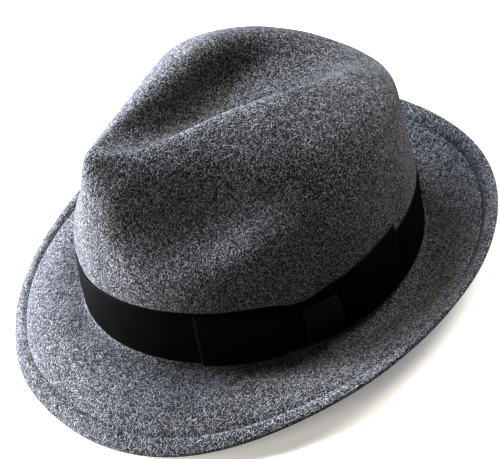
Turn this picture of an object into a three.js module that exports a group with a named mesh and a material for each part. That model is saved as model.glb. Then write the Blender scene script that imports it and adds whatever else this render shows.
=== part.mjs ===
import * as THREE from 'three';

// A blocked felt fedora with a ribbon band and a flat bow. Millimetres, +Z up.
// The front of the hat faces -Y and the wearer's left, where the bow is, faces +X.

// Felt and the oval at the foot of the crown (outer half widths, for a 58 cm head)
const OVAL_X = 87.8;
const OVAL_Y = 100;
const FELT = 2;
const CLEAR = 0.3;

// Middle of the crease: height, and how far behind the oval's centre it lies
const CREASE_Z = 90;
const CREASE_BACK = 10;
const CREASE_FLAT = 0.2;

// Line where the brim breaks away from the crown: its level, and waves once, twice and three times round
const WAVE = [-0.45, 1.18, 1.93, -0.45];

// Crown sections, front (0) to back (180), the same on both sides. Each pair steers a smooth curve:
// s = share of the oval's radius, z = height. In order: low wall, lip under the dent, dent, wall above it,
// ridge, crease.
const CROWN_COLUMNS = [
  'az', 'sLow', 'sLip', 'zLip', 'sDent', 'zDent', 'sWall', 'zWall', 'sRidge', 'zRidge', 'sIn', 'zIn',
];
const CROWN = [
  [0, 0.973, 0.932, 64, 0.887, 80, 0.861, 99.9, 0.81, 114.4, 0.5, 93],
  [12, 0.968, 0.93, 62, 0.869, 78, 0.828, 97.4, 0.647, 113.1, 0.46, 91],
  [24, 0.973, 0.936, 59, 0.796, 71, 0.751, 101.2, 0.443, 115.4, 0.4, 89],
  [48, 0.978, 0.939, 59, 0.725, 67.5, 0.638, 107.9, 0.282, 117.9, 0.33, 90],
  [73, 0.981, 0.946, 69, 0.77, 79, 0.666, 106.6, 0.247, 120.8, 0.31, 91],
  [95, 0.984, 0.951, 74, 0.855, 90, 0.737, 106.3, 0.285, 122, 0.32, 93],
  [124, 0.986, 0.953, 69, 0.925, 86, 0.849, 98.1, 0.402, 120.2, 0.38, 94],
  [150, 0.986, 0.95, 64, 0.942, 78, 0.904, 89.9, 0.603, 108.4, 0.44, 96],
  [180, 0.978, 0.966, 60, 0.97, 72, 0.979, 82.4, 0.77, 89.7, 0.5, 96],
];
const Z_LOW = 40;
const LOW_WAVE = 0.4;

// Foot of the wall and start of the brim. Heights are above the break line, and each row
// follows a share of that line's wave.
const FOOT = [
  // share of the oval, distance beyond it, height, share of the wave
  [0.995, 0, 18, 0.7],
  [1, 0, 5.4, 1],
  [1, 0.2, 0, 1],
  [1, 1.8, -1.4, 1],
  [1, 8, -1.5, 0.9],
];

// Brim sections: width from the crown and height of the edge
const BRIM_COLUMNS = ['az', 'width', 'zEdge'];
const BRIM = [
  [0, 44.2, -25.9],
  [40, 47.8, -17.6],
  [75, 45.5, 0.8],
  [110, 43.3, 13.2],
  [145, 42, 14.9],
  [180, 43.4, 11.9],
];
// Where the brim is fuller on the wearer's right than on the left
const BRIM_RIGHT = [
  { az: -12, spread: 17, extra: 3 },
  { az: -42, spread: 14, extra: 1 },
];
const EDGE_ROUND = 1.4;

// Run of the brim from the foot to the edge, as shares of its width and of its edge's height
const BRIM_RUN = [
  { across: 0.55, rise: 0.15, wave: 0.3 },
  { across: 0.82, rise: 0.62, wave: 0 },
  { across: 1, rise: 1, wave: 0 },
];

// Welt of the brim's edge: distance from the edge and rise above the brim
const WELT = [
  { inward: 9, rise: 0 },
  { inward: 7.6, rise: -0.1 },
  { inward: 7.1, rise: -0.55 },
  { inward: 6.6, rise: -0.1 },
  { inward: 5.9, rise: 0.75 },
  { inward: 3.6, rise: 0.95 },
  { inward: 0, rise: 0.7 },
];

// Places along the section, counted in control points from the middle of the crease out to the edge
const EDGE_U = 15;
const FOOT_U = 12;
const WALL_U = [6, 10.2];
const CROWN_STEPS = [0.8, 1.4, 2, 2.3, 2.6, 2.9, 3.15, 3.4, 3.7, 4, 4.4, 4.8, 5.3, 5.8, 6.4, 7, 7.8, 8.5];
const BREAK_STEPS = [9.2, 9.7, 10, 10.35, 10.7, 11.1, 11.6, 12.2, 12.8];
const EDGE_TURNS = [45, 90, 135];
const AROUND = 68;

// Ribbon band. Its upper edge dips at the front and beside the knot: azimuth, depth, width in degrees
const BAND_FOOT = 1.6;
const BAND_TOP = 34.6;
const BAND_DIPS = [
  { az: 0, depth: 3, width: 22 },
  { az: 78, depth: 4.3, width: 8 },
];
const RIBBON = 1.2;
const BAND_LEVELS = [0, 0.25, 0.6, 1];

// Bow sections: azimuth, foot and top of the ribbon, how far it stands off the band, how thick it is
const BOW = [
  { az: 44.3, foot: 1.2, top: 32.4, stand: 0, thick: 1.9 },
  { az: 50, foot: 1.2, top: 32.7, stand: 0.1, thick: 2.1 },
  { az: 60, foot: 1.7, top: 32.4, stand: 0.4, thick: 2.2 },
  { az: 69, foot: 2.9, top: 31, stand: 0.9, thick: 2.3 },
  { az: 74, foot: 6.2, top: 28, stand: 1.2, thick: 2.2 },
  { az: 76.8, foot: 11.5, top: 22.6, stand: 1.1, thick: 1.9 },
  { az: 83, foot: 11.8, top: 22.2, stand: 1, thick: 1.8 },
  { az: 89.2, foot: 11.5, top: 22.8, stand: 1.1, thick: 1.9 },
  { az: 92, foot: 8.2, top: 30.5, stand: 1.2, thick: 2.2 },
  { az: 97, foot: 6.2, top: 36, stand: 0.9, thick: 2.3 },
  { az: 106, foot: 5.6, top: 39.3, stand: 0.4, thick: 2.2 },
  { az: 113, foot: 5.8, top: 40.6, stand: 0.2, thick: 2.1 },
  { az: 116.2, foot: 6, top: 41, stand: 0.3, thick: 1.9 },
];
const BOW_LEVELS = [0, 0.3, 0.7, 1];

// Knot: half its width in degrees and the section it follows from foot to top
const KNOT_AZ = 83;
const KNOT_HALF = 6;
const KNOT_THICK = 1.3;
const KNOT_MIDDLE = 17.4;
const KNOT_INNER = 0.9;
const KNOT_TURNS = [-1, -0.6, 0, 0.6, 1];
const KNOT_TUCK = 0.12;
const KNOT = [
  { z: 4.6, stand: 0 },
  { z: 5.6, stand: 1.8 },
  { z: 9.5, stand: 3.6 },
  { z: 14.5, stand: 5.2 },
  { z: 18.5, stand: 5.8 },
  { z: 22, stand: 5 },
  { z: 25.2, stand: 3.1 },
  { z: 27, stand: 1.6 },
  { z: 27.8, stand: 0 },
];

// How the hat sits: leaned back on the back of the break, front edge on the ground
const LEAN = 5.77;
const LIFT = 12.48;
const BACK_SHIFT = 1.82;

const rad = (degrees) => (degrees * Math.PI) / 180;

// Smooth curve through x, y for increasing x
function smooth(x, y, q) {
  const last = x.length - 1;
  const slope = (i) => (y[i + 1] - y[i]) / (x[i + 1] - x[i]);
  const tangent = (i) => {
    if (i === 0) return slope(0);
    if (i === last) return slope(last - 1);
    const before = x[i] - x[i - 1];
    const after = x[i + 1] - x[i];
    return (slope(i - 1) * after + slope(i) * before) / (before + after);
  };
  let i = 0;
  while (i < last - 1 && q >= x[i + 1]) i += 1;
  const h = x[i + 1] - x[i];
  const t = (q - x[i]) / h;
  const a = (2 * t - 3) * t * t + 1;
  const b = ((t - 2) * t + 1) * t;
  const c = (3 - 2 * t) * t * t;
  const d = (t - 1) * t * t;
  return a * y[i] + b * h * tangent(i) + c * y[i + 1] + d * h * tangent(i + 1);
}

// Value of a column at an azimuth, mirrored about the front and the back
function around(rows, columns, column, phi) {
  const side = Math.abs((Math.atan2(Math.sin(phi), Math.cos(phi)) * 180) / Math.PI);
  const az = rows.map((row) => row[0]);
  const value = rows.map((row) => row[columns.indexOf(column)]);
  const before = az.slice(1).reverse().map((a) => -a);
  const after = az.slice(0, -1).reverse().map((a) => 360 - a);
  const x = [...before, ...az, ...after];
  const y = [...value.slice(1).reverse(), ...value, ...value.slice(0, -1).reverse()];
  return smooth(x, y, side);
}

// Sum of bumps over azimuth, each with its middle, spread and extra
function bumps(rows, phi) {
  return rows.reduce((sum, { az, spread, extra }) => {
    const away = Math.atan2(Math.sin(phi - rad(az)), Math.cos(phi - rad(az))) / rad(spread);
    return sum + extra * Math.exp(-away * away);
  }, 0);
}

const crown = (column, phi) => around(CROWN, CROWN_COLUMNS, column, phi);
const brimWidth = (phi) => around(BRIM, BRIM_COLUMNS, 'width', phi) + bumps(BRIM_RIGHT, phi);
const brimEdge = (phi) => around(BRIM, BRIM_COLUMNS, 'zEdge', phi);
const wave = (phi) => WAVE.reduce((sum, height, turns) => sum + height * Math.cos(turns * phi), 0);

// Control points of the section at an azimuth: share of the oval, distance beyond the oval, height
function controls(phi) {
  const c = (column) => crown(column, phi);
  const width = brimWidth(phi) - EDGE_ROUND;
  const zEdge = brimEdge(phi);
  const w = wave(phi);
  return [
    [0, 0, CREASE_Z],
    [CREASE_FLAT, 0, CREASE_Z],
    [c('sIn'), 0, c('zIn')],
    [c('sRidge'), 0, c('zRidge')],
    [c('sWall'), 0, c('zWall')],
    [c('sDent'), 0, c('zDent')],
    [c('sLip'), 0, c('zLip')],
    [c('sLow'), 0, Z_LOW + LOW_WAVE * w],
    ...FOOT.map(([share, beyond, height, part]) => [share, beyond, height + part * w]),
    ...BRIM_RUN.map((row) => [1, row.across * width, row.rise * zEdge + row.wave * w]),
  ];
}

// Point of a uniform cubic B-spline that touches its first and last control points
function along(points, u) {
  const last = points.length - 1;
  const ghost = (a, b) => a.map((v, k) => 2 * v - b[k]);
  const at = (i) => {
    if (i < 0) return ghost(points[0], points[1]);
    if (i > last) return ghost(points[last], points[last - 1]);
    return points[i];
  };
  const i = Math.min(Math.floor(u), last - 1);
  const t = u - i;
  const weights = [
    (1 - t) ** 3 / 6,
    (3 * t ** 3 - 6 * t ** 2 + 4) / 6,
    (-3 * t ** 3 + 3 * t ** 2 + 3 * t + 1) / 6,
    t ** 3 / 6,
  ];
  return [0, 1, 2].map((k) => weights.reduce((sum, w, j) => sum + w * at(i - 1 + j)[k], 0));
}

// Felt surface, upper side, at an azimuth and a place along the section
function surface(phi, u, points = controls(phi)) {
  const [s, off, z] = along(points, u);
  return new THREE.Vector3(
    (s * OVAL_X + off) * Math.sin(phi),
    -(s * OVAL_Y + off) * Math.cos(phi) + (1 - s) * CREASE_BACK,
    z,
  );
}

const STEP_U = 0.01;
const STEP_PHI = 0.004;

// Outward normal of the upper side, and the direction that runs down the section
function frameAt(phi, u) {
  const points = controls(phi);
  const down = surface(phi, Math.min(u + STEP_U, EDGE_U), points).sub(surface(phi, u - STEP_U, points));
  const sideways = surface(phi + STEP_PHI, u).sub(surface(phi - STEP_PHI, u));
  const normal = new THREE.Vector3().crossVectors(down, sideways).normalize();
  return { point: surface(phi, u, points), normal, down: down.normalize() };
}

// Place along the section where one coordinate reaches a value, between two places
const BEYOND = 1;
const HEIGHT = 2;
const HALVINGS = 40;
function placeWhere(phi, axis, value, low, high) {
  const points = controls(phi);
  const rising = along(points, high)[axis] > along(points, low)[axis];
  let a = low;
  let b = high;
  for (let k = 0; k < HALVINGS; k += 1) {
    const mid = (a + b) / 2;
    if (along(points, mid)[axis] < value === rising) a = mid;
    else b = mid;
  }
  return (a + b) / 2;
}

// Straight up and height above the ground, both in the frame of the hat before it leans back
const UPRIGHT = new THREE.Vector3(0, -Math.sin(rad(LEAN)), Math.cos(rad(LEAN)));
const heightAboveGround = (p) => p.dot(UPRIGHT) + LIFT;

// A closed body from rings of points, each ring with the same count; tips close the two ends
function bodyFromRings(rings, firstTip, lastTip) {
  const count = rings[0].length;
  const position = [];
  rings.forEach((ring) => ring.forEach((p) => position.push(p.x, p.y, p.z)));
  const index = [];
  for (let i = 0; i + 1 < rings.length; i += 1) {
    for (let j = 0; j < count; j += 1) {
      const a = i * count + j;
      const b = i * count + ((j + 1) % count);
      if (j < count / 2) index.push(a, a + count, b, b, a + count, b + count);
      else index.push(a, a + count, b + count, a, b + count, b);
    }
  }
  [[firstTip, 0, false], [lastTip, rings.length - 1, true]].forEach(([tip, ring, flip]) => {
    const k = position.length / 3;
    position.push(tip.x, tip.y, tip.z);
    for (let j = 0; j < count; j += 1) {
      const a = ring * count + j;
      const b = ring * count + ((j + 1) % count);
      if (flip) index.push(k, b, a);
      else index.push(k, a, b);
    }
  });
  return geometryOf(position, index);
}

// A ring whose cross-section is a closed loop: sections[i] holds the loop's points at one azimuth
function bodyFromSections(sections, closed) {
  const count = sections[0].length;
  const position = [];
  sections.forEach((section) => section.forEach((p) => position.push(p.x, p.y, p.z)));
  const index = [];
  const pairs = closed ? sections.length : sections.length - 1;
  for (let i = 0; i < pairs; i += 1) {
    const next = (i + 1) % sections.length;
    for (let j = 0; j < count; j += 1) {
      const k = (j + 1) % count;
      const a = i * count + j;
      const b = i * count + k;
      const c = next * count + j;
      const d = next * count + k;
      index.push(a, c, b, b, c, d);
    }
  }
  if (!closed) {
    const end = (sections.length - 1) * count;
    const half = count / 2;
    for (let j = 0; j < half - 1; j += 1) {
      const a = j;
      const b = j + 1;
      const c = count - 1 - j;
      const d = count - 2 - j;
      index.push(a, b, c, b, d, c);
      index.push(end + a, end + c, end + b, end + b, end + c, end + d);
    }
  }
  return geometryOf(position, index);
}

function geometryOf(position, index) {
  const geometry = new THREE.BufferGeometry();
  geometry.setAttribute('position', new THREE.Float32BufferAttribute(position, 3));
  geometry.setIndex(index);
  geometry.computeVertexNormals();
  return geometry;
}

// Felt: upper side from the crease out to the edge, round the edge, and back along the under side
function feltRings() {
  const azimuths = Array.from({ length: AROUND }, (_, j) => (j * 2 * Math.PI) / AROUND);
  const columns = azimuths.map((phi) => {
    const width = brimWidth(phi) - EDGE_ROUND;
    const welt = WELT.map(({ inward, rise }) => {
      const u = placeWhere(phi, BEYOND, width - inward, FOOT_U, EDGE_U);
      return { u, rise };
    });
    const plain = [...CROWN_STEPS, ...BREAK_STEPS].map((u) => ({ u, rise: 0 }));
    const rows = [...plain, ...welt];
    const upper = [];
    const under = [];
    rows.forEach(({ u, rise }, i) => {
      const { point, normal, down } = frameAt(phi, u);
      const top = point.clone().addScaledVector(normal, rise);
      const bottom = point.clone().addScaledVector(normal, -FELT);
      const pressed = Math.max(0, -heightAboveGround(bottom));
      upper.push(top.addScaledVector(UPRIGHT, pressed));
      bottom.addScaledVector(UPRIGHT, pressed);
      const last = i === rows.length - 1;
      const skipped = i > CROWN_STEPS.length && !last && i % 2 === 0;
      if (!skipped) under.unshift(bottom);
      if (last) {
        const radius = (rise + FELT) / 2;
        EDGE_TURNS.forEach((turn) => {
          const p = point.clone().addScaledVector(normal, rise - radius + radius * Math.cos(rad(turn)));
          p.addScaledVector(down, EDGE_ROUND * Math.sin(rad(turn)));
          p.addScaledVector(UPRIGHT, Math.max(pressed, -heightAboveGround(p)));
          upper.push(p);
        });
      }
    });
    return [...upper, ...under];
  });
  return columns[0].map((_, i) => columns.map((column) => column[i]));
}

const topTip = new THREE.Vector3(0, CREASE_BACK, CREASE_Z);
const underTip = new THREE.Vector3(0, CREASE_BACK, CREASE_Z - FELT);

// Point that stands off the felt's wall by a distance, at a height above the break line
function offWall(phi, height, distance) {
  const u = placeWhere(phi, HEIGHT, height + wave(phi), ...WALL_U);
  const { normal } = frameAt(phi, u);
  const level = new THREE.Vector3(normal.x, normal.y, 0).normalize();
  return surface(phi, u).addScaledVector(level, distance);
}

// Height of the band's upper edge at an azimuth
function bandTop(phi) {
  return BAND_DIPS.reduce((top, dip) => {
    const away = Math.atan2(Math.sin(phi - rad(dip.az)), Math.cos(phi - rad(dip.az))) / rad(dip.width);
    return top - dip.depth * Math.exp(-away * away);
  }, BAND_TOP);
}

function bandSections() {
  return Array.from({ length: AROUND }, (_, j) => {
    const phi = (j * 2 * Math.PI) / AROUND;
    const height = (level) => BAND_FOOT + level * (bandTop(phi) - BAND_FOOT);
    const outer = BAND_LEVELS.map((level) => offWall(phi, height(level), CLEAR + RIBBON));
    const inner = BAND_LEVELS.map((level) => offWall(phi, height(level), CLEAR));
    return [...outer, ...inner.reverse()];
  });
}

const BAND_FACE = CLEAR + RIBBON + CLEAR;

function bowSections() {
  return BOW.map((row) => {
    const height = (level) => row.foot + level * (row.top - row.foot);
    const base = BAND_FACE + row.stand;
    const outer = BOW_LEVELS.map((level) => offWall(rad(row.az), height(level), base + row.thick));
    const inner = BOW_LEVELS.map((level) => offWall(rad(row.az), height(level), base));
    return [...outer, ...inner.reverse()];
  });
}

function knotSections() {
  return KNOT_TURNS.map((turn) => {
    const phi = rad(KNOT_AZ + turn * KNOT_HALF);
    const swell = 1 - KNOT_TUCK * turn * turn;
    const outer = KNOT.map((row) => offWall(phi, row.z, BAND_FACE + (row.stand + KNOT_THICK) * swell));
    const inner = KNOT.map((row) => {
      const z = KNOT_MIDDLE + (row.z - KNOT_MIDDLE) * KNOT_INNER;
      return offWall(phi, z, BAND_FACE + row.stand * swell);
    });
    return [...outer, ...inner.reverse()];
  });
}

const felt = (color) => new THREE.MeshStandardMaterial({ color, roughness: 0.95, metalness: 0 });
const ribbon = (color) => new THREE.MeshStandardMaterial({ color, roughness: 0.6, metalness: 0 });

function piece(name, geometry, material) {
  const mesh = new THREE.Mesh(geometry, material);
  mesh.name = name;
  return mesh;
}

const hat = new THREE.Group();
hat.name = 'hat';
hat.rotation.x = -rad(LEAN);
hat.position.set(0, BACK_SHIFT, LIFT);
hat.add(piece('felt_body', bodyFromRings(feltRings(), topTip, underTip), felt(0x55565a)));
hat.add(piece('hat_band', bodyFromSections(bandSections(), true), ribbon(0x101012)));
hat.add(piece('bow_ribbon', bodyFromSections(bowSections(), false), ribbon(0x131315)));
hat.add(piece('bow_knot', bodyFromSections(knotSections(), false), ribbon(0x1a1a1d)));

const fedora = new THREE.Group();
fedora.name = 'felt_fedora';
fedora.add(hat);

export default fedora;
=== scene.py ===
"""A grey felt fedora with a ribbon band and a flat bow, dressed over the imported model."""
import math

import bpy
import numpy as np
from bpy.props import FloatProperty, FloatVectorProperty, IntProperty, PointerProperty
from mathutils import Matrix, Vector


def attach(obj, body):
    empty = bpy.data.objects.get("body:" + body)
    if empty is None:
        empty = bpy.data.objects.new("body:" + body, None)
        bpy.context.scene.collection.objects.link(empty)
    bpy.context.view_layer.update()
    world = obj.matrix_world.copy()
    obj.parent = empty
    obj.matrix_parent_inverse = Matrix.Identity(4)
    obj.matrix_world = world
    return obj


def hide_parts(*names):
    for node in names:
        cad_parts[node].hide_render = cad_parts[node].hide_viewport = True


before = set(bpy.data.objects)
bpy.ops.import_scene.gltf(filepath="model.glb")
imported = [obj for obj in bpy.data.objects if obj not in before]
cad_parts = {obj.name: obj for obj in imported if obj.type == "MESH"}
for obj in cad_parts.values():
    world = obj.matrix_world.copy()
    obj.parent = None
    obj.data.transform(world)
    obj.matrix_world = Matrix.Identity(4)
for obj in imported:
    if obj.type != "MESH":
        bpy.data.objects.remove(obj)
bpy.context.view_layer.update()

bl_info = {
    "name": "Felt fedora",
    "version": (1, 0, 0),
    "blender": (4, 5, 0),
    "location": "View3D > Sidebar > Hat",
    "description": "Builds a felt fedora with its ribbon band, bow, stitching and studio",
    "category": "Add Mesh",
}

BODY = "root"
MM = 0.001

# The blocked hat in millimetres, before it leans back: front at -Y, the wearer's left at +X
OVAL_X = 87.8
OVAL_Y = 100.0
CLEAR = 0.3
CREASE_Z = 90.0
CREASE_BACK = 10.0
CREASE_FLAT = 0.2
# Line where the brim breaks away: its level, and waves once, twice and three times round
WAVE = [-0.45, 1.18, 1.93, -0.45]
Z_LOW = 40.0
LOW_WAVE = 0.4

# Crown sections from the front (0) to the back (180): s = share of the oval's radius, z = height
CROWN_COLUMNS = [
    "az", "s_low", "s_lip", "z_lip", "s_dent", "z_dent",
    "s_wall", "z_wall", "s_ridge", "z_ridge", "s_in", "z_in",
]
CROWN = np.array([
    [0, 0.973, 0.932, 64, 0.887, 80, 0.861, 99.9, 0.81, 114.4, 0.5, 93],
    [12, 0.968, 0.93, 62, 0.869, 78, 0.828, 97.4, 0.647, 113.1, 0.46, 91],
    [24, 0.973, 0.936, 59, 0.796, 71, 0.751, 101.2, 0.443, 115.4, 0.4, 89],
    [48, 0.978, 0.939, 59, 0.725, 67.5, 0.638, 107.9, 0.282, 117.9, 0.33, 90],
    [73, 0.981, 0.946, 69, 0.77, 79, 0.666, 106.6, 0.247, 120.8, 0.31, 91],
    [95, 0.984, 0.951, 74, 0.855, 90, 0.737, 106.3, 0.285, 122, 0.32, 93],
    [124, 0.986, 0.953, 69, 0.925, 86, 0.849, 98.1, 0.402, 120.2, 0.38, 94],
    [150, 0.986, 0.95, 64, 0.942, 78, 0.904, 89.9, 0.603, 108.4, 0.44, 96],
    [180, 0.978, 0.966, 60, 0.97, 72, 0.979, 82.4, 0.77, 89.7, 0.5, 96],
])

# Foot of the wall: share of the oval, distance beyond it, height, share of the break line's wave
FOOT = [
    (0.995, 0.0, 18.0, 0.7),
    (1.0, 0.0, 5.4, 1.0),
    (1.0, 0.2, 0.0, 1.0),
    (1.0, 1.8, -1.4, 1.0),
    (1.0, 8.0, -1.5, 0.9),
]

# Brim sections: azimuth, width from the crown, height of the edge
BRIM_COLUMNS = ["az", "width", "z_edge"]
BRIM = np.array([
    [0, 44.2, -25.9],
    [40, 47.8, -17.6],
    [75, 45.5, 0.8],
    [110, 43.3, 13.2],
    [145, 42.0, 14.9],
    [180, 43.4, 11.9],
])
# Where the brim is fuller on the wearer's right than on the left: azimuth, spread, extra width
BRIM_RIGHT = [
    (-12.0, 17.0, 3.0),
    (-42.0, 14.0, 1.0),
]
EDGE_ROUND = 1.4
# Run of the brim: share of its width, share of its edge's height, share of the wave
BRIM_RUN = [(0.55, 0.15, 0.3), (0.82, 0.62, 0.0), (1.0, 1.0, 0.0)]

# Places along the section, counted in control points from the middle of the crease to the edge
EDGE_U = 15.0
FOOT_U = 12.0
WALL_U = (6.0, 10.2)
# Columns of a control point: distance beyond the oval, height
BEYOND = 1
HEIGHT = 2
# Steps to each side for the surface's directions: along the section, round the hat in radians
STEP_U = 0.01
STEP_PHI = 0.004
# Halvings with which a place along the section is found
HALVINGS = 40

# The band's upper edge dips at the front and beside the knot: azimuth, depth, width in degrees
BAND_DIPS = [(0.0, 3.0, 22.0), (78.0, 4.3, 8.0)]

# Bow sections: azimuth, foot and top of the ribbon, stand off the band, thickness
BOW_COLUMNS = ["az", "foot", "top", "stand", "thick"]
BOW = np.array([
    [44.3, 1.2, 32.4, 0.0, 1.9],
    [50, 1.2, 32.7, 0.1, 2.1],
    [60, 1.7, 32.4, 0.4, 2.2],
    [69, 2.9, 31.0, 0.9, 2.3],
    [74, 6.2, 28.0, 1.2, 2.2],
    [76.8, 11.5, 22.6, 1.1, 1.9],
    [83, 11.8, 22.2, 1.0, 1.8],
    [89.2, 11.5, 22.8, 1.1, 1.9],
    [92, 8.2, 30.5, 1.2, 2.2],
    [97, 6.2, 36.0, 0.9, 2.3],
    [106, 5.6, 39.3, 0.4, 2.2],
    [113, 5.8, 40.6, 0.2, 2.1],
    [116.2, 6.0, 41.0, 0.3, 1.9],
])

# Knot from foot to top: height, stand off the band's face
KNOT = np.array([
    [4.6, 0.0], [5.6, 1.8], [9.5, 3.6], [14.5, 5.2], [18.5, 5.8],
    [22.0, 5.0], [25.2, 3.1], [27.0, 1.6], [27.8, 0.0],
])
KNOT_AZ = 83.0
KNOT_HALF = 6.0

# How the hat sits on the ground
LEAN = math.radians(5.77)
LIFT = 12.48
BACK_SHIFT = 1.82
UPRIGHT = np.array([0.0, -math.sin(LEAN), math.cos(LEAN)])
SEAT = Matrix.Translation((0.0, BACK_SHIFT * MM, LIFT * MM)) @ Matrix.Rotation(-LEAN, 4, "X")

# The photograph's camera, given in the frame of the hat before it leans back
CAMERA_AZIMUTH = math.radians(65.0)
CAMERA_ELEVATION = math.radians(39.0)
CAMERA_ROLL = math.radians(-12.1)
CAMERA_DISTANCE = 0.761
CAMERA_TARGET = Vector((0.0, 0.0, 0.050))
CAMERA_SHIFT_RIGHT = 0.0056
CAMERA_SHIFT_UP = -0.0283
CAMERA_LENS = 100.3
SENSOR = 36.0


# Sizes and colours that a user would change

class FeltSettings(bpy.types.PropertyGroup):
    """The felt and its stitched welt."""
    thickness: FloatProperty(name="Felt thickness", description="Thickness of the felt",
                             unit="LENGTH", default=0.002, min=0.001, max=0.004)
    columns: IntProperty(name="Columns", description="Mesh columns round the hat", default=256, min=64)
    welt_rise: FloatProperty(name="Welt rise", description="How proud the folded edge stands",
                             unit="LENGTH", default=0.0008, min=0.0, max=0.002)
    swell: FloatProperty(name="Swell", description="How far the felt swells out above the tight band",
                         unit="LENGTH", default=0.0008, min=0.0, max=0.001)
    dark: FloatVectorProperty(name="Dark wool", description="Colour of the dark wool",
                              subtype="COLOR", default=(0.007, 0.007, 0.0085))
    light: FloatVectorProperty(name="Light wool", description="Colour of the light wool",
                               subtype="COLOR", default=(0.375, 0.373, 0.388))
    fleck: FloatProperty(name="Fleck size", description="Size of the marled flecks",
                         subtype="DISTANCE", unit="LENGTH", default=0.0009)
    stitch_pitch: FloatProperty(name="Stitch pitch", description="Distance between stitches",
                                unit="LENGTH", default=0.0033, min=0.001)
    thread: FloatVectorProperty(name="Thread", description="Colour of the stitching",
                                subtype="COLOR", default=(0.022, 0.022, 0.026))


class RibbonSettings(bpy.types.PropertyGroup):
    """The ribbon of the band and the bow."""
    foot: FloatProperty(name="Band foot", description="Lower edge above the break line",
                        unit="LENGTH", default=0.0016)
    top: FloatProperty(name="Band top", description="Upper edge above the break line",
                       unit="LENGTH", default=0.0346)
    thickness: FloatProperty(name="Ribbon thickness", description="Thickness of the ribbon",
                             unit="LENGTH", default=0.0006, min=0.0003)
    rib_pitch: FloatProperty(name="Rib pitch", description="Distance between the ribs",
                             unit="LENGTH", default=0.0009, min=0.0004)
    rib_depth: FloatProperty(name="Rib depth", description="Depth of the ribs",
                             unit="LENGTH", default=0.00007)
    colour: FloatVectorProperty(name="Ribbon", description="Colour of the ribbon",
                                subtype="COLOR", default=(0.0025, 0.0025, 0.0028))


class StudioSettings(bpy.types.PropertyGroup):
    """The floor and the lights."""
    floor: FloatVectorProperty(name="Floor", description="Colour of the floor",
                               subtype="COLOR", default=(0.50, 0.50, 0.50))
    light: FloatProperty(name="Light", description="Power that each light takes its share of",
                         unit="POWER", default=455.0)
    sky: FloatProperty(name="Sky", description="Strength of the even light all round", default=0.03)
    glow: FloatProperty(name="Glow", description="How far the floor near the hat shines for the camera",
                        default=0.45)
    backdrop: FloatProperty(name="Backdrop", description="Brightness of the background", default=0.95)
    tone: FloatProperty(name="Tone", description="Gamma of the print; under 1 deepens the shadows",
                        default=0.56)


def settings():
    """The three groups of settings."""
    scene = bpy.context.scene
    return scene.hat_felt, scene.hat_ribbon, scene.hat_studio


def in_mm(length):
    """A length of the settings in the millimetres of the tables."""
    return length / MM


# The shape of the blocked hat

def degrees_from(phi, az):
    """Degrees round the hat from the azimuth az, between -180 and 180."""
    turn = phi - math.radians(az)
    return np.degrees(np.arctan2(np.sin(turn), np.cos(turn)))


def bell(phi, az, spread):
    """One at the azimuth az, dying away to both sides over a spread in degrees."""
    away = degrees_from(phi, az) / spread
    return np.exp(-away * away)


def ease(t):
    """Soft step from 0 to 1."""
    return t * t * (3 - 2 * t)


def smooth(x, y, q):
    """Cubic through the points x, y at the values q."""
    step = np.diff(x)
    slope = np.diff(y) / step
    tangent = np.empty_like(y)
    tangent[1:-1] = (slope[:-1] * step[1:] + slope[1:] * step[:-1]) / (step[:-1] + step[1:])
    tangent[0] = slope[0]
    tangent[-1] = slope[-1]
    i = np.clip(np.searchsorted(x, q, side="right") - 1, 0, len(step) - 1)
    t = (q - x[i]) / step[i]
    low = (2 * t - 3) * t * t + 1
    low_run = ((t - 2) * t + 1) * t
    high = (3 - 2 * t) * t * t
    high_run = (t - 1) * t * t
    start = low * y[i] + low_run * step[i] * tangent[i]
    return start + high * y[i + 1] + high_run * step[i] * tangent[i + 1]


def around(rows, columns, column, phi):
    """A table's column at the azimuths phi, mirrored about the front and the back."""
    side = np.abs(degrees_from(phi, 0))
    az = rows[:, 0]
    value = rows[:, columns.index(column)]
    x = np.concatenate([-az[:0:-1], az, 360 - az[-2::-1]])
    y = np.concatenate([value[:0:-1], value, value[-2::-1]])
    return smooth(x, y, side)


def brim_width(phi):
    """Width of the brim from the crown to its edge."""
    width = around(BRIM, BRIM_COLUMNS, "width", phi)
    for az, spread, extra in BRIM_RIGHT:
        width = width + extra * bell(phi, az, spread)
    return width


def brim_reach(phi):
    """Width of the brim up to where its edge begins to round."""
    return brim_width(phi) - EDGE_ROUND


def wave(phi):
    """Height of the break line."""
    return sum(height * np.cos(turns * phi) for turns, height in enumerate(WAVE))


def controls(phi):
    """Control points of the sections at phi: share of the oval, distance beyond it, height."""
    flat = np.zeros_like(phi)

    def crown(name):
        return around(CROWN, CROWN_COLUMNS, name, phi)

    width = brim_reach(phi)
    z_edge = around(BRIM, BRIM_COLUMNS, "z_edge", phi)
    w = wave(phi)
    points = [
        (flat, flat, flat + CREASE_Z),
        (flat + CREASE_FLAT, flat, flat + CREASE_Z),
        (crown("s_in"), flat, crown("z_in")),
        (crown("s_ridge"), flat, crown("z_ridge")),
        (crown("s_wall"), flat, crown("z_wall")),
        (crown("s_dent"), flat, crown("z_dent")),
        (crown("s_lip"), flat, crown("z_lip")),
        (crown("s_low"), flat, Z_LOW + LOW_WAVE * w),
    ]
    for share, beyond, height, part in FOOT:
        points.append((flat + share, flat + beyond, height + part * w))
    for across, rise, part in BRIM_RUN:
        points.append((flat + 1, across * width, rise * z_edge + part * w))
    return np.array([np.stack(point, -1) for point in points])


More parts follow.
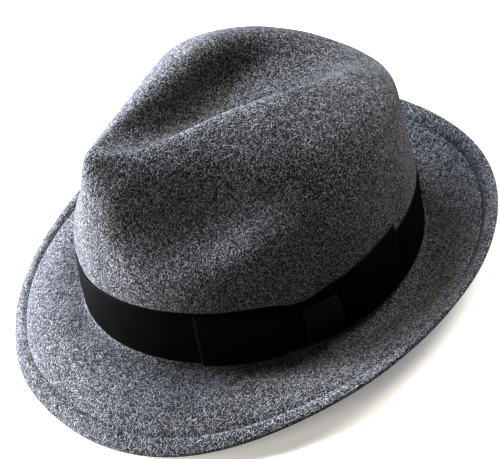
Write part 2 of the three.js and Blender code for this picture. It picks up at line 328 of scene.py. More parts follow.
def along(points, u):
    """Points of the B-splines through the control points; u has one column for each azimuth."""
    last = len(points) - 1
    padded = np.concatenate([2 * points[:1] - points[1:2], points, 2 * points[-1:] - points[-2:-1]])
    i = np.minimum(np.floor(u).astype(int), last - 1)
    t = (u - i)[..., None]
    column = np.arange(u.shape[1])[None, :]
    weights = [
        (1 - t) ** 3,
        3 * t ** 3 - 6 * t ** 2 + 4,
        -3 * t ** 3 + 3 * t ** 2 + 3 * t + 1,
        t ** 3,
    ]
    return sum(weight * padded[i + k, column] for k, weight in enumerate(weights)) / 6


def surface(phi, u):
    """Upper side of the felt at azimuths phi and places u."""
    share, beyond, z = np.moveaxis(along(controls(phi), u), -1, 0)
    x = (share * OVAL_X + beyond) * np.sin(phi)
    y = -(share * OVAL_Y + beyond) * np.cos(phi) + (1 - share) * CREASE_BACK
    return np.stack([x, y, z], -1)


def unit(v):
    """Vectors scaled to length one."""
    return v / np.maximum(np.linalg.norm(v, axis=-1, keepdims=True), 1e-9)


def frames(phi, u):
    """Points, outward normals and directions down the section."""
    down = surface(phi, np.minimum(u + STEP_U, EDGE_U)) - surface(phi, u - STEP_U)
    sideways = surface(phi + STEP_PHI, u) - surface(phi - STEP_PHI, u)
    return surface(phi, u), unit(np.cross(down, sideways)), unit(down)


def place_where(phi, axis, value, low, high):
    """Places along the sections where a coordinate reaches a value, shaped like value."""
    points = controls(phi)
    a = np.full(value.shape, float(low))
    b = np.full(value.shape, float(high))
    rising = along(points, b)[..., axis] > along(points, a)[..., axis]
    for _ in range(HALVINGS):
        mid = (a + b) / 2
        below = (along(points, mid)[..., axis] < value) == rising
        a = np.where(below, mid, a)
        b = np.where(below, b, mid)
    return (a + b) / 2


def off_wall(phi, height, distance):
    """Points that stand off the felt's wall by a distance at a height above the break line."""
    u = place_where(phi, HEIGHT, height + wave(phi), *WALL_U)
    point, normal, _ = frames(phi, u)
    level = unit(normal * (1.0, 1.0, 0.0))
    return point + level * np.asarray(distance)[..., None]


def height_above_ground(points):
    """Height above the ground once the hat leans back."""
    return points @ UPRIGHT + LIFT


# Making meshes

def add_piece(name, points, faces, material):
    """A smooth mesh object that sits on the ground, from points in the blocked hat's millimetres."""
    mesh = bpy.data.meshes.new(name)
    mesh.from_pydata((np.asarray(points, float) * MM).tolist(), [], faces)
    mesh.transform(SEAT)
    mesh.polygons.foreach_set("use_smooth", [True] * len(mesh.polygons))
    mesh.validate()
    mesh.update()
    piece = bpy.data.objects.new(name, mesh)
    bpy.context.scene.collection.objects.link(piece)
    mesh.materials.append(material)
    return piece


def tube_faces(rows, columns, wrap_rows=False):
    """Quads of a grid whose columns go all the way round."""
    faces = []
    last = rows if wrap_rows else rows - 1
    for i in range(last):
        below = (i + 1) % rows
        for j in range(columns):
            k = (j + 1) % columns
            faces.append((i * columns + j, below * columns + j, below * columns + k, i * columns + k))
    return faces


def slab(outer, inner):
    """Points and quads of a closed slab from the grids of its outer and inner face."""
    loops = np.swapaxes(np.concatenate([outer, inner[::-1]]), 0, 1)
    sections, count, _ = loops.shape
    faces = []
    for i in range(sections - 1):
        for j in range(count):
            k = (j + 1) % count
            faces.append((i * count + j, (i + 1) * count + j, (i + 1) * count + k, i * count + k))
    end = (sections - 1) * count
    for j in range(count // 2 - 1):
        a, b, c, d = j, j + 1, count - 2 - j, count - 1 - j
        faces.append((a, b, c, d))
        faces.append((end + d, end + c, end + b, end + a))
    return loops.reshape(-1, 3), faces


# Materials, with sizes in metres

# Layers of fibres: scatter in flecks, width of a fibre
FIBRE_LAYERS = [(1.7, 0.00025), (1.35, 0.00023), (1.1, 0.00021)]
# Distance between the layers' scatters, and how strongly a fibre may curl
LAYER_SHIFT = 0.11
CURL = 0.45
# Share of the light wool that the ground's grain and the fibres show
GRAIN_SHARE = 0.17
HAIR_SHARE = 0.9
# Sizes of the noises, and depths of the bumps
PATCH_SIZE = 0.016
CLUMP_SIZE = 0.0030
FELT_DEPTH = 0.0006
YARN_SIZE = 0.00035
YARN_DEPTH = 0.00012
WEAR_SIZE = 0.012
TWIST_SIZE = 0.0003
TWIST_DEPTH = 0.0001
SPECK_SIZE = 0.05
# Tones as multiples of the ribbon's or the thread's colour; the lifts are painted light that makes the
# bow and the knot lighter than the band, though all are one ribbon
RIBBON_DARK = 0.75
RIBBON_LIGHT = 1.5
THREAD_LIGHT = 1.9
BOW_PAINTED_LIGHT = 0.8
KNOT_PAINTED_LIGHT = 3.4
# Distance over which the floor's glow turns into the backdrop's
GLOW_FROM = 0.4
GLOW_TO = 1.8
WHITE = (1.0, 1.0, 1.0, 1.0)


def new_material(name):
    """A node material with its shader and the object's coordinates."""
    material = bpy.data.materials.new(name)
    material.use_nodes = True
    tree = material.node_tree
    shader = tree.nodes["Principled BSDF"]
    where = tree.nodes.new("ShaderNodeTexCoord").outputs["Object"]
    return material, tree, shader, where


def set_inputs(node, **values):
    """Fixed values on a node's own sockets; an underscore stands for a space."""
    for name, value in values.items():
        node.inputs[name.replace("_", " ")].default_value = value


def noise(tree, where, size, detail=2.0, roughness=0.5):
    """Noise with features of a size."""
    node = tree.nodes.new("ShaderNodeTexNoise")
    set_inputs(node, Scale=1.0 / size, Detail=detail, Roughness=roughness)
    tree.links.new(where, node.inputs["Vector"])
    return node.outputs["Fac"]


def ramp(tree, value, low, high, bottom=0.0, top=1.0):
    """Linear step from bottom to top as value goes from low to high."""
    node = tree.nodes.new("ShaderNodeMapRange")
    set_inputs(node, From_Min=low, From_Max=high, To_Min=bottom, To_Max=top)
    tree.links.new(value, node.inputs["Value"])
    return node.outputs["Result"]


def maths(tree, operation, a, b):
    """Two values combined; either may be a number."""
    node = tree.nodes.new("ShaderNodeMath")
    node.operation = operation
    for socket, value in zip(node.inputs, (a, b)):
        if isinstance(value, (int, float)):
            socket.default_value = value
        else:
            tree.links.new(value, socket)
    return node.outputs[0]


def blend_colours(tree, factor, first, second):
    """A colour between two."""
    node = tree.nodes.new("ShaderNodeMix")
    node.data_type = "RGBA"
    tree.links.new(factor, node.inputs["Factor"])
    set_inputs(node, A=(*first, 1.0), B=(*second, 1.0))
    return node.outputs["Result"]


def bump(tree, height, depth, strength=1.0):
    """A bump of a depth."""
    node = tree.nodes.new("ShaderNodeBump")
    set_inputs(node, Distance=depth, Strength=strength)
    tree.links.new(height, node.inputs["Height"])
    return node.outputs["Normal"]


def vectors(tree, operation, a, b=None, output="Vector"):
    """Two vectors combined; the second may be left out or be three numbers."""
    node = tree.nodes.new("ShaderNodeVectorMath")
    node.operation = operation
    tree.links.new(a, node.inputs[0])
    if isinstance(b, tuple):
        node.inputs[1].default_value = b
    elif b is not None:
        tree.links.new(b, node.inputs[1])
    return node.outputs[output]


def fibres(tree, where, size, width, shift):
    """Short curled fibres that lie in the surface, one for each cell of a scatter of a size."""
    normal = tree.nodes.new("ShaderNodeTexCoord").outputs["Normal"]
    place = vectors(tree, "ADD", where, (shift, 0.37 * shift, -0.61 * shift))
    cell = tree.nodes.new("ShaderNodeTexVoronoi")
    set_inputs(cell, Scale=1.0 / size)
    tree.links.new(place, cell.inputs["Vector"])
    offset = vectors(tree, "SUBTRACT", place, cell.outputs["Position"])
    aside = vectors(tree, "SUBTRACT", cell.outputs["Color"], (0.5, 0.5, 0.5))
    run = vectors(tree, "NORMALIZE", vectors(tree, "CROSS_PRODUCT", normal, aside))
    sideways = vectors(tree, "CROSS_PRODUCT", normal, run)
    across = vectors(tree, "DOT_PRODUCT", offset, sideways, "Value")
    onward = vectors(tree, "DOT_PRODUCT", offset, run, "Value")
    chance = tree.nodes.new("ShaderNodeSeparateColor")
    tree.links.new(cell.outputs["Color"], chance.inputs["Color"])
    curl = ramp(tree, chance.outputs["Green"], 0.0, 1.0, -CURL / size, CURL / size)
    bend = maths(tree, "MULTIPLY", maths(tree, "MULTIPLY", onward, onward), curl)
    away = maths(tree, "ABSOLUTE", maths(tree, "ADD", across, bend), 0.0)
    line = ramp(tree, away, 0.35 * width, width, 1.0, 0.0)
    length = maths(tree, "ABSOLUTE", onward, 0.0)
    ends = ramp(tree, length, 0.5 * size, 0.75 * size, 1.0, 0.0)
    glow = ramp(tree, chance.outputs["Red"], 0.15, 1.0, 0.12, 1.0)
    glow = maths(tree, "POWER", glow, 1.8)
    return maths(tree, "MULTIPLY", maths(tree, "MULTIPLY", line, ends), glow)


def wool_felt(felt):
    """Marled wool felt: a dark ground, light fibres that curl over each other and a soft nap."""
    material, tree, shader, where = new_material("wool_felt")
    grain = ramp(tree, noise(tree, where, felt.fleck, 2.0, 0.6), 0.36, 0.66)
    hairs = None
    for k, (share, width) in enumerate(FIBRE_LAYERS):
        layer = fibres(tree, where, felt.fleck * share, width, LAYER_SHIFT * (k + 1))
        hairs = layer if hairs is None else maths(tree, "MAXIMUM", hairs, layer)
    patches = ramp(tree, noise(tree, where, PATCH_SIZE, 3.0, 0.6), 0.3, 0.7, -0.03, 0.03)
    clumps = ramp(tree, noise(tree, where, CLUMP_SIZE, 2.0, 0.6), 0.35, 0.65, 0.8, 1.1)
    hairs = maths(tree, "MULTIPLY", maths(tree, "MULTIPLY", hairs, clumps), HAIR_SHARE)
    marl = maths(tree, "ADD", maths(tree, "MULTIPLY", grain, GRAIN_SHARE), hairs)
    shade = ramp(tree, maths(tree, "ADD", marl, patches), 0.0, 1.0)
    tree.links.new(blend_colours(tree, shade, felt.dark, felt.light), shader.inputs["Base Color"])
    set_inputs(shader, Roughness=0.95, Specular_IOR_Level=0.15)
    set_inputs(shader, Sheen_Weight=0.08, Sheen_Roughness=0.5, Sheen_Tint=(0.9, 0.9, 1.0, 1.0))
    tree.links.new(bump(tree, marl, FELT_DEPTH, 0.7), shader.inputs["Normal"])
    return material


def grosgrain(name, ribbon, painted_light=0.0):
    """Black ribbon cloth: fine yarn bump and a little wear, over ribs that are modelled; a lift
    lightens its colour as painted light.
    """
    material, tree, shader, where = new_material(name)
    yarn = noise(tree, where, YARN_SIZE, 2.0, 0.6)
    wear = noise(tree, where, WEAR_SIZE, 3.0, 0.55)
    tone = maths(tree, "ADD", maths(tree, "MULTIPLY", yarn, 0.5), maths(tree, "MULTIPLY", wear, 0.5))
    # The lift adds painted light: it makes this copy of the ribbon lighter than the band's
    dark = tuple(c * (RIBBON_DARK + painted_light) for c in ribbon.colour)
    light = tuple(c * (RIBBON_LIGHT + painted_light) for c in ribbon.colour)
    colour = blend_colours(tree, ramp(tree, tone, 0.35, 0.65), dark, light)
    tree.links.new(colour, shader.inputs["Base Color"])
    tree.links.new(ramp(tree, wear, 0.3, 0.7, 0.52, 0.66), shader.inputs["Roughness"])
    set_inputs(shader, Specular_IOR_Level=0.07, Sheen_Weight=0.006, Sheen_Roughness=0.4)
    tree.links.new(bump(tree, yarn, YARN_DEPTH, 0.6), shader.inputs["Normal"])
    return material


def sewing_thread(felt):
    """Twisted grey thread."""
    material, tree, shader, where = new_material("sewing_thread")
    twist = noise(tree, where, TWIST_SIZE, 1.0)
    light = tuple(c * THREAD_LIGHT for c in felt.thread)
    colour = blend_colours(tree, ramp(tree, twist, 0.35, 0.65), felt.thread, light)
    tree.links.new(colour, shader.inputs["Base Color"])
    set_inputs(shader, Roughness=0.6)
    tree.links.new(bump(tree, twist, TWIST_DEPTH), shader.inputs["Normal"])
    return material


def paper_floor(studio):
    """Pale matt floor that shines a little for the camera only, and more the further off it is."""
    material, tree, shader, where = new_material("pale_floor")
    speck = ramp(tree, noise(tree, where, SPECK_SIZE), 0.0, 1.0, 0.985, 1.0)
    node = tree.nodes.new("ShaderNodeMix")
    node.data_type = "RGBA"
    node.blend_type = "MULTIPLY"
    set_inputs(node, Factor=1.0, A=(*studio.floor, 1.0))
    tree.links.new(speck, node.inputs["B"])
    tree.links.new(node.outputs["Result"], shader.inputs["Base Color"])
    set_inputs(shader, Roughness=0.9, Specular_IOR_Level=0.0, Emission_Color=WHITE)
    distance = vectors(tree, "LENGTH", where, output="Value")
    glow = ramp(tree, distance, GLOW_FROM, GLOW_TO, studio.glow, studio.backdrop)
    path = tree.nodes.new("ShaderNodeLightPath")
    seen = maths(tree, "MULTIPLY", path.outputs["Is Camera Ray"], glow)
    tree.links.new(seen, shader.inputs["Emission Strength"])
    return material


# The pieces

# Rows of the felt's mesh: place along the section, rows for each step there
ROW_DENSITY = np.array([
    [0.0, 8], [1.4, 12], [2.3, 20], [4.2, 20], [5.5, 11], [6.7, 24], [7.8, 24],
    [8.1, 7], [8.6, 7], [9.4, 20], [11.4, 20], [12.4, 9], [15.0, 9],
])
# Welt from its foot out to the edge: distance from the edge, share of its rise
WELT = np.array([
    [10.6, 0.0], [9.6, -0.07], [8.7, -0.27], [8.0, -0.52], [7.5, -0.78], [7.0, -0.86], [6.6, -0.52],
    [6.1, -0.02], [5.4, 0.5], [4.4, 0.86], [3.0, 1.0], [1.4, 0.9], [0.0, 0.6],
])
WELT_ROWS = 24
EDGE_ROWS = 7
# First ring beside the crease's middle, end of the table's spacing, rings from there to the welt
FIRST_U = 0.06
PLAIN_U = FOOT_U + 1
REST_ROWS = 10
# Fine steps with which lengths are added up: along the section, round the groove
FINE_STEPS = 400
GROOVE_STEPS = 2000
# Stitches: distance from the edge, half length and thickness, arch, depth as a share of the welt's
GROOVE = 7.0
STITCH_HALF = 1.1
STITCH_THICK = 0.26
STITCH_ARCH = 0.22
STITCH_SUNK = 0.8
STITCH_RINGS = 7
STITCH_SIDES = 8


def section_rows(start, stop):
    """Places between start and stop, spaced by the density table."""
    fine = np.linspace(start, stop, FINE_STEPS)
    share = np.interp(fine, ROW_DENSITY[:, 0], ROW_DENSITY[:, 1])
    total = np.concatenate([[0], np.cumsum((share[1:] + share[:-1]) / 2 * np.diff(fine))])
    count = max(int(round(total[-1])), 2)
    return np.interp(np.linspace(0, total[-1], count), total, fine)


# Unevenness of hand-blocked felt: depth of broad and close waves, and where it fades in
BROAD_RIPPLE = 0.22
CLOSE_RIPPLE = 0.10
RIPPLE_FROM = 0.3
RIPPLE_OVER = 1.2
# Swell over the band: its start above the band's edge, the height it rises over and falls over
SWELL_START = 0.1
SWELL_RISE = 1.5
SWELL_FALL = 8
# The welt's height: share on average, and how much the two sides differ from that
WELT_FULLNESS = 1.12
WELT_SIDE = 0.26


def ripple(points):
    """Slight unevenness of hand-blocked felt, in millimetres along the normal."""
    x, y, z = np.moveaxis(points, -1, 0)
    broad = np.sin(x / 23 + 1.3) * np.sin(y / 29 + 0.4) * np.cos(z / 31)
    close = np.sin(x / 9.1 + y / 13.7) * np.sin(z / 11.3 - y / 8.9 + 2.0)
    return BROAD_RIPPLE * broad + CLOSE_RIPPLE * close


def swell_over_band(phi, u, z):
    """Share of the swell just above the band's upper edge, where the felt bulges over it."""
    _, ribbon, _ = settings()
    above = z - wave(phi) - band_top(phi, ribbon)
    rise = np.clip((above - SWELL_START) / SWELL_RISE, 0, 1)
    fall = np.exp(-(np.maximum(above - SWELL_START - SWELL_RISE, 0) / SWELL_FALL) ** 2)
    wall = (u > WALL_U[0]) & (u < WALL_U[1])
    return ease(rise) * fall * wall


def welt_height(felt, phi):
    """How far the welt stands up: it is fuller on the wearer's right, at -X."""
    return in_mm(felt.welt_rise) * (WELT_FULLNESS - WELT_SIDE * np.sin(phi))


def felt_grid(felt):
    """Rings of the felt from the middle of the crease over the edge and back inside."""
    phi = np.linspace(0, 2 * math.pi, felt.columns, endpoint=False)
    inward = np.linspace(WELT[0, 0], 0.0, WELT_ROWS)
    share = smooth(-WELT[:, 0], WELT[:, 1], -inward)
    welt_u = place_where(phi, BEYOND, brim_reach(phi) - inward[:, None], FOOT_U, EDGE_U)
    plain = section_rows(FIRST_U, PLAIN_U)
    rest = np.linspace(0, 1, REST_ROWS + 2)[1:-1, None] * (welt_u[0] - PLAIN_U) + PLAIN_U
    u = np.concatenate([np.repeat(plain[:, None], len(phi), 1), rest, welt_u])
    rise = np.concatenate([np.zeros(len(plain) + len(rest)), share])[:, None] * welt_height(felt, phi)
    thickness = in_mm(felt.thickness)
    point, normal, down = frames(phi, u)
    fade = np.clip((u - RIPPLE_FROM) / RIPPLE_OVER, 0, 1)
    shift = ripple(point) * fade + in_mm(felt.swell) * swell_over_band(phi, u, point[..., 2])
    point = point + normal * shift[..., None]
    upper = point + normal * rise[..., None]
    under = point - normal * thickness
    pressed = np.maximum(0, -height_above_ground(under))[..., None] * UPRIGHT
    upper = upper + pressed
    under = under + pressed
    turn = np.linspace(0, math.pi, EDGE_ROWS + 2)[1:-1, None, None]
    radius = (rise[-1][:, None] + thickness) / 2
    edge = point[-1] + normal[-1] * (rise[-1][:, None] - radius + radius * np.cos(turn))
    edge = edge + down[-1] * EDGE_ROUND * np.sin(turn) + pressed[-1]
    edge = edge + np.maximum(0, -height_above_ground(edge))[..., None] * UPRIGHT
    # The unseen inside needs fewer rows
    welt_start = len(under) - WELT_ROWS
    keep = np.concatenate([np.arange(0, welt_start, 2), np.arange(welt_start, len(under), 4)])
    under = under[np.union1d(keep, [len(under) - 1])][::-1]
    return np.concatenate([upper, edge, under])


class HAT_OT_felt_body(bpy.types.Operator):
    """Build the blocked felt with its crease, pinches, brim and welt"""
    bl_idname = "hat.felt_body"
    bl_label = "Felt body"

    def execute(self, context):
        felt, _, _ = settings()
        grid = felt_grid(felt)
        rows, columns, _ = grid.shape
        top = np.array([0.0, CREASE_BACK, CREASE_Z])
        under = top - (0.0, 0.0, in_mm(felt.thickness))
        points = np.concatenate([grid.reshape(-1, 3), [top, under]])
        faces = tube_faces(rows, columns)
        first, second = rows * columns, rows * columns + 1
        last = (rows - 1) * columns
        for j in range(columns):
            k = (j + 1) % columns
            faces.append((first, j, k))
            faces.append((second, last + k, last + j))
        piece = add_piece("felt_shell", points, faces, wool_felt(felt))
        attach(piece, BODY)
        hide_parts("felt_body")
        return {"FINISHED"}


def groove_places(phi):
    """Places of the welt's groove along the sections."""
    return place_where(phi, BEYOND, (brim_reach(phi) - GROOVE)[None], FOOT_U, EDGE_U)


class HAT_OT_welt_stitches(bpy.types.Operator):
    """Sew the folded edge of the brim down, one stitch after another in the groove"""
    bl_idname = "hat.welt_stitches"
    bl_label = "Welt stitches"

    def execute(self, context):
        felt, _, _ = settings()
        fine = np.linspace(0, 2 * math.pi, GROOVE_STEPS + 1)
        line = surface(fine, groove_places(fine))[0]
        length = np.concatenate([[0], np.cumsum(np.linalg.norm(np.diff(line, axis=0), axis=1))])
        count = int(length[-1] / in_mm(felt.stitch_pitch))
        middle = np.interp((np.arange(count) + 0.5) * length[-1] / count, length, fine)
        point, normal, down = (value[0] for value in frames(middle, groove_places(middle)))
        point = point + normal * ripple(point)[:, None]
        run = unit(np.cross(normal, down))
        sunk = STITCH_SUNK * welt_height(felt, middle)
        t = np.linspace(-1, 1, STITCH_RINGS)
        profile = np.sqrt(np.maximum(1 - t ** 4, 0)) * STITCH_THICK
        arch = (1 - t ** 2) * STITCH_ARCH
        angle = np.arange(STITCH_SIDES) * 2 * math.pi / STITCH_SIDES
        points = []
        faces = []
        for i in range(count):
            base = len(points)
            for k in range(1, STITCH_RINGS - 1):
                centre = point[i] + run[i] * STITCH_HALF * t[k] + normal[i] * (arch[k] - sunk[i])
                for a in angle:
                    spoke = normal[i] * math.cos(a) + down[i] * math.sin(a)
                    points.append(centre + profile[k] * spoke)
            for k in range(STITCH_RINGS - 3):
                for j in range(STITCH_SIDES):
                    n = (j + 1) % STITCH_SIDES
                    a, b = base + k * STITCH_SIDES, base + (k + 1) * STITCH_SIDES
                    faces.append((a + j, b + j, b + n, a + n))
            tips = len(points)
            points.append(point[i] - run[i] * STITCH_HALF - normal[i] * sunk[i])
            points.append(point[i] + run[i] * STITCH_HALF - normal[i] * sunk[i])
            end = base + (STITCH_RINGS - 3) * STITCH_SIDES
            for j in range(STITCH_SIDES):
                n = (j + 1) % STITCH_SIDES
                faces.append((tips, base + j, base + n))
                faces.append((tips + 1, end + n, end + j))
        piece = add_piece("welt_stitches", points, faces, sewing_thread(felt))
        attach(piece, BODY)
        return {"FINISHED"}


# Rows of the ribbon's mesh, as shares of its height
BAND_LEVELS = np.array([0.0, 0.012, 0.03, 0.06, 0.2, 0.35, 0.5, 0.65, 0.8, 0.94, 0.97, 0.988, 1.0])
BOW_LEVELS = np.array([
    0, 0.01, 0.03, 0.05, 0.12, 0.2, 0.3, 0.4, 0.5, 0.6, 0.7, 0.8, 0.88,
    0.925, 0.94, 0.955, 0.975, 0.99, 1,
])
# Waviness of the band's two edges: waves round the hat, shift, depth
EDGE_WAVES = [(5, 0.7, 0.12), (11, 0.0, 0.08)]
# The ribbon's rounded edges: reach and depth as shares of its thickness
ROUND_REACH = 0.5
ROUND_DEPTH = 0.4
# Distance of the bow's inner face from the felt: the room that the band takes
BOW_BASE = 1.0
# Share of the table's thickness that the bow's two layers take
BOW_THICK = 0.72
# The bow's folded ends: how far from the end the fold is round
FOLD_REACH = 2.6
# The bow's outer layer ends a little below the layer behind it: by how much, and how softly
LAYER_DROP = 1.7
LAYER_BLEND = 0.45
# Gathers beside the knot: spread in degrees, depth, count over the height, fan in radians a degree
GATHER_SPREAD = 9.0
GATHER_DEPTH = 0.42
GATHERS = 3.2
GATHER_FAN = 0.05
# How far a loop bulges out away from the knot
LOOP_BULGE = 0.35
# Knot: mesh rows and columns, thickness, pleats, drop at the sides, middle height, inner face's share
KNOT_ROWS = 64
KNOT_COLUMNS = 33
KNOT_THICK = 1.1
KNOT_PLEAT = 0.22
KNOT_PLEATS = 1.6
KNOT_DROP = 0.12
KNOT_MIDDLE = 17.4
KNOT_INNER = 0.9


def band_top(phi, ribbon):
    """Height of the band's upper edge."""
    top = in_mm(ribbon.top) + 0 * phi
    for az, depth, width in BAND_DIPS:
        top = top - depth * bell(phi, az, width)
    return top


def edge_round(levels, height, thickness):
    """How far the outer face draws in at the ribbon's two edges, in millimetres."""
    reach = np.minimum(levels, 1 - levels) * height
    near = np.clip(reach / (ROUND_REACH * thickness), 0, 1)
    return ROUND_DEPTH * thickness * (1 - np.sqrt(1 - (1 - near) ** 2))


def ribs_along(count, ribbon):
    """Offsets that rise and fall from one column to the next."""
    return in_mm(ribbon.rib_depth) * np.where(np.arange(count) % 2, -0.5, 0.5)


class HAT_OT_hat_band(bpy.types.Operator):
    """Wrap the ribbon round the foot of the crown"""
    bl_idname = "hat.hat_band"
    bl_label = "Hat band"

    def execute(self, context):
        _, ribbon, _ = settings()
        girth = math.pi * (OVAL_X + OVAL_Y)
        ribs = int(girth / in_mm(ribbon.rib_pitch))
        foot, thickness = in_mm(ribbon.foot), in_mm(ribbon.thickness)
        phi = np.linspace(0, 2 * math.pi, 2 * ribs, endpoint=False)
        height = band_top(phi, ribbon) - foot
        level = BAND_LEVELS[:, None] + 0 * phi
        edge_wave = sum(depth * np.sin(turns * phi + shift) for turns, shift, depth in EDGE_WAVES)
        z = foot + level * height + edge_wave * (2 * level - 1)
        draw = edge_round(level, height, thickness)
        outer = off_wall(phi, z, CLEAR + thickness - draw + ribs_along(len(phi), ribbon))
        inner = off_wall(phi, z[::3], np.full(z[::3].shape, CLEAR))
        grid = np.concatenate([outer, inner[::-1]])
        rows, columns, _ = grid.shape
        faces = [face[::-1] for face in tube_faces(rows, columns, wrap_rows=True)]
        cloth = grosgrain("band_grosgrain", ribbon)
        piece = add_piece("band_ribbon", grid.reshape(-1, 3), faces, cloth)
        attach(piece, BODY)
        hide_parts("hat_band")
        return {"FINISHED"}


def bow_column(name, az):
    """A column of the bow's table at the azimuths az, in degrees."""
    return smooth(BOW[:, 0], BOW[:, BOW_COLUMNS.index(name)], az)


class HAT_OT_bow(bpy.types.Operator):
    """Fold the ribbon into a flat bow, drawn in at its waist"""
    bl_idname = "hat.bow"
    bl_label = "Bow"

    def execute(self, context):
        _, ribbon, _ = settings()
        first, last = BOW[0, 0], BOW[-1, 0]
        degree_length = math.radians(1) * (OVAL_X + OVAL_Y) / 2
        ribs = int((last - first) * degree_length / in_mm(ribbon.rib_pitch))
        az = np.linspace(first, last, 2 * ribs + 1)
        phi = np.radians(az)
        foot, top = bow_column("foot", az), bow_column("top", az)
        stand, thick = bow_column("stand", az), BOW_THICK * bow_column("thick", az)
        # The two folded ends are round in plan
        from_end = np.minimum(az - first, last - az) * degree_length
        fold = np.sqrt(np.clip(1 - (1 - np.clip(from_end / FOLD_REACH, 0, 1)) ** 2, 0.04, 1))
        level = BOW_LEVELS[:, None] + 0 * az
        height = top - foot
        z = foot + level * height
        # The outer layer is a little narrower than the one behind it
        back_layer = np.clip((level * height - (height - LAYER_DROP)) / LAYER_BLEND, 0, 1)
        step = ease(back_layer) * 0.5 * thick
        gather = np.exp(-((az - KNOT_AZ) / GATHER_SPREAD) ** 2)
        fan = GATHER_FAN * (az - KNOT_AZ)
        pleats = GATHER_DEPTH * gather * np.cos(2 * math.pi * GATHERS * (level - 0.5) + fan)
        bulge = LOOP_BULGE * np.sin(math.pi * level) * (1 - gather)
        draw = edge_round(level, height, thick * 0.6)
        out = BOW_BASE + stand + (thick - step) * fold + (pleats + bulge) * fold - draw * fold
        outer = off_wall(phi, z, out + ribs_along(len(az), ribbon))
        inner = off_wall(phi, z, (BOW_BASE + stand) * np.ones_like(z))
        sections, faces = slab(outer, inner)
        # The bow's ribbon is made lighter than the band's: painted light
        cloth = grosgrain("bow_grosgrain", ribbon, BOW_PAINTED_LIGHT)
        piece = add_piece("bow_loops", sections, faces, cloth)
        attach(piece, BODY)
        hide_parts("bow_ribbon")
        return {"FINISHED"}


class HAT_OT_bow_knot(bpy.types.Operator):
    """Wrap a short ribbon upright round the waist of the bow"""
    bl_idname = "hat.bow_knot"
    bl_label = "Bow knot"

    def execute(self, context):
        _, ribbon, _ = settings()
        run = np.linspace(0, len(KNOT) - 1, KNOT_ROWS)
        index = np.arange(len(KNOT), dtype=float)
        z = smooth(index, KNOT[:, 0], run)
        stand = smooth(index, KNOT[:, 1], run)
        turn = np.linspace(-1, 1, KNOT_COLUMNS)
        az = KNOT_AZ + turn * KNOT_HALF
        phi = np.radians(az)
        swell = 1 - KNOT_DROP * turn ** 2
        pleat = KNOT_PLEAT * np.cos(2 * math.pi * KNOT_PLEATS * turn) * np.clip(1 - turn ** 6, 0, 1)
        rib = ribs_along(KNOT_ROWS, ribbon)[:, None]
        round_side = np.sqrt(np.clip(1 - np.abs(turn) ** 14, 0.02, 1))
        base = BOW_BASE + stand[:, None] * swell
        fullness = np.clip(stand[:, None] * swell / 3, 0, 1)
        out = base + KNOT_THICK * round_side + pleat * fullness + rib
        outer = off_wall(phi, np.repeat(z[:, None], len(az), 1), out)
        inner_z = KNOT_MIDDLE + (z - KNOT_MIDDLE) * KNOT_INNER
        inner = off_wall(phi, np.repeat(inner_z[:, None], len(az), 1), base)
        sections, faces = slab(outer, inner)
        # The knot's ribbon is made much lighter than the band's: painted light where the knot stands
        # out into the light
        cloth = grosgrain("knot_grosgrain", ribbon, KNOT_PAINTED_LIGHT)
        piece = add_piece("knot_wrap", sections, faces, cloth)
        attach(piece, BODY)
        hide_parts("bow_knot")
        return {"FINISHED"}


# Soft boxes: name, azimuth from the front, elevation, size in metres, share of the power, colour
LIGHTS = [
    ("key", -42.0, 9.0, 0.85, 0.75, (0.945, 0.97, 1.0)),
    ("back", 180.0, 36.0, 1.1, 0.26, (1.0, 0.97, 0.92)),
    ("top", -80.0, 62.0, 1.1, 0.36, (0.82, 0.90, 1.0)),
    ("side", -100.0, 9.0, 1.1, 0.04, (0.92, 0.96, 1.0)),
    ("front", 22.0, 40.0, 1.1, 0.09, (1.0, 0.92, 0.78)),
]
LIGHT_DISTANCE = 2.5
FLOOR_HALF = 6.0


def add_light(name, azimuth, elevation, size, power, colour):
    """A square soft box that looks at the hat. Azimuth 0 is in front, at -Y."""
    data = bpy.data.lights.new(name, "AREA")
    data.shape = "SQUARE"
    data.size = size
    data.energy = power
    data.color = colour
    light = bpy.data.objects.new(name, data)
    bpy.context.scene.collection.objects.link(light)
    az, el = math.radians(azimuth), math.radians(elevation)
    away = Vector((math.sin(az) * math.cos(el), -math.cos(az) * math.cos(el), math.sin(el)))
    light.location = away * LIGHT_DISTANCE
    light.rotation_euler = away.to_track_quat("Z", "Y").to_euler()


def studio_world(studio):
    """Even white surroundings: bright where they are seen, faint as a light."""
    world = bpy.data.worlds.new("studio")
    world.use_nodes = True
    tree = world.node_tree
    light = tree.nodes["Background"]
    set_inputs(light, Color=WHITE, Strength=studio.sky)
    seen = tree.nodes.new("ShaderNodeBackground")
    set_inputs(seen, Color=WHITE, Strength=studio.backdrop)
    path = tree.nodes.new("ShaderNodeLightPath")
    mix = tree.nodes.new("ShaderNodeMixShader")
    tree.links.new(path.outputs["Is Camera Ray"], mix.inputs["Fac"])
    tree.links.new(light.outputs["Background"], mix.inputs[1])
    tree.links.new(seen.outputs["Background"], mix.inputs[2])
    tree.links.new(mix.outputs["Shader"], tree.nodes["World Output"].inputs["Surface"])
    return world


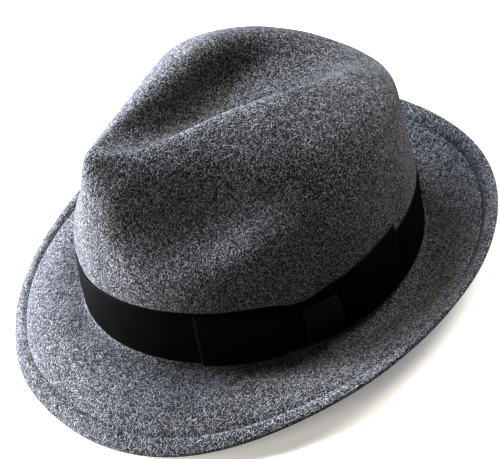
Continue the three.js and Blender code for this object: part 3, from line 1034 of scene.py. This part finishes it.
def add_camera(scene):
    """The photograph's camera, carried along as the hat leans back."""
    ca, sa = math.cos(CAMERA_AZIMUTH), math.sin(CAMERA_AZIMUTH)
    ce, se = math.cos(CAMERA_ELEVATION), math.sin(CAMERA_ELEVATION)
    back = Vector((sa * ce, -ca * ce, se))
    level = Vector((ca, sa, 0.0))
    upright = back.cross(level)
    cr, sr = math.cos(CAMERA_ROLL), math.sin(CAMERA_ROLL)
    right = level * cr + upright * sr
    up = upright * cr - level * sr
    eye = CAMERA_TARGET + back * CAMERA_DISTANCE + right * CAMERA_SHIFT_RIGHT + up * CAMERA_SHIFT_UP
    data = bpy.data.cameras.new("photo_camera")
    data.lens = CAMERA_LENS
    data.sensor_width = SENSOR
    data.sensor_fit = "HORIZONTAL"
    data.clip_start = 0.01
    camera = bpy.data.objects.new("photo_camera", data)
    scene.collection.objects.link(camera)
    rotation = Matrix((right, up, back)).transposed().to_4x4()
    camera.matrix_world = SEAT @ Matrix.Translation(eye) @ rotation
    scene.camera = camera


class HAT_OT_studio(bpy.types.Operator):
    """Set the floor, the lights and the photograph's camera"""
    bl_idname = "hat.studio"
    bl_label = "Studio"

    def execute(self, context):
        _, _, studio = settings()
        scene = context.scene
        corners = [(x * FLOOR_HALF, y * FLOOR_HALF, 0) for x, y in ((-1, -1), (1, -1), (1, 1), (-1, 1))]
        mesh = bpy.data.meshes.new("floor")
        mesh.from_pydata(corners, [], [(0, 1, 2, 3)])
        mesh.materials.append(paper_floor(studio))
        floor = bpy.data.objects.new("floor", mesh)
        scene.collection.objects.link(floor)
        scene.world = studio_world(studio)
        for name, azimuth, elevation, size, share, colour in LIGHTS:
            add_light(name, azimuth, elevation, size, share * studio.light, colour)
        scene.view_settings.view_transform = "Standard"
        scene.view_settings.gamma = studio.tone
        add_camera(scene)
        return {"FINISHED"}


class HAT_PT_panel(bpy.types.Panel):
    """Lists the steps that build the hat"""
    bl_idname = "HAT_PT_panel"
    bl_label = "Felt fedora"
    bl_space_type = "VIEW_3D"
    bl_region_type = "UI"
    bl_category = "Hat"

    def draw(self, context):
        for step in STEPS:
            self.layout.operator(step.bl_idname)
        for group in settings():
            box = self.layout.box()
            for name in group.bl_rna.properties.keys():
                if name not in ("name", "rna_type"):
                    box.prop(group, name)


STEPS = (
    HAT_OT_studio,
    HAT_OT_felt_body,
    HAT_OT_welt_stitches,
    HAT_OT_hat_band,
    HAT_OT_bow,
    HAT_OT_bow_knot,
)
GROUPS = {"hat_felt": FeltSettings, "hat_ribbon": RibbonSettings, "hat_studio": StudioSettings}


def register():
    """Registers the settings, the steps and the panel."""
    for name, group in GROUPS.items():
        bpy.utils.register_class(group)
        setattr(bpy.types.Scene, name, PointerProperty(type=group))
    for cls in (*STEPS, HAT_PT_panel):
        bpy.utils.register_class(cls)


def unregister():
    """Takes the settings, the steps and the panel away again."""
    for cls in (HAT_PT_panel, *reversed(STEPS)):
        bpy.utils.unregister_class(cls)
    for name, group in GROUPS.items():
        delattr(bpy.types.Scene, name)
        bpy.utils.unregister_class(group)


def main():
    """Builds the hat."""
    register()
    bpy.ops.hat.studio()
    bpy.ops.hat.felt_body()
    bpy.ops.hat.welt_stitches()
    bpy.ops.hat.hat_band()
    bpy.ops.hat.bow()
    bpy.ops.hat.bow_knot()


if __name__ == "__main__":
    main()
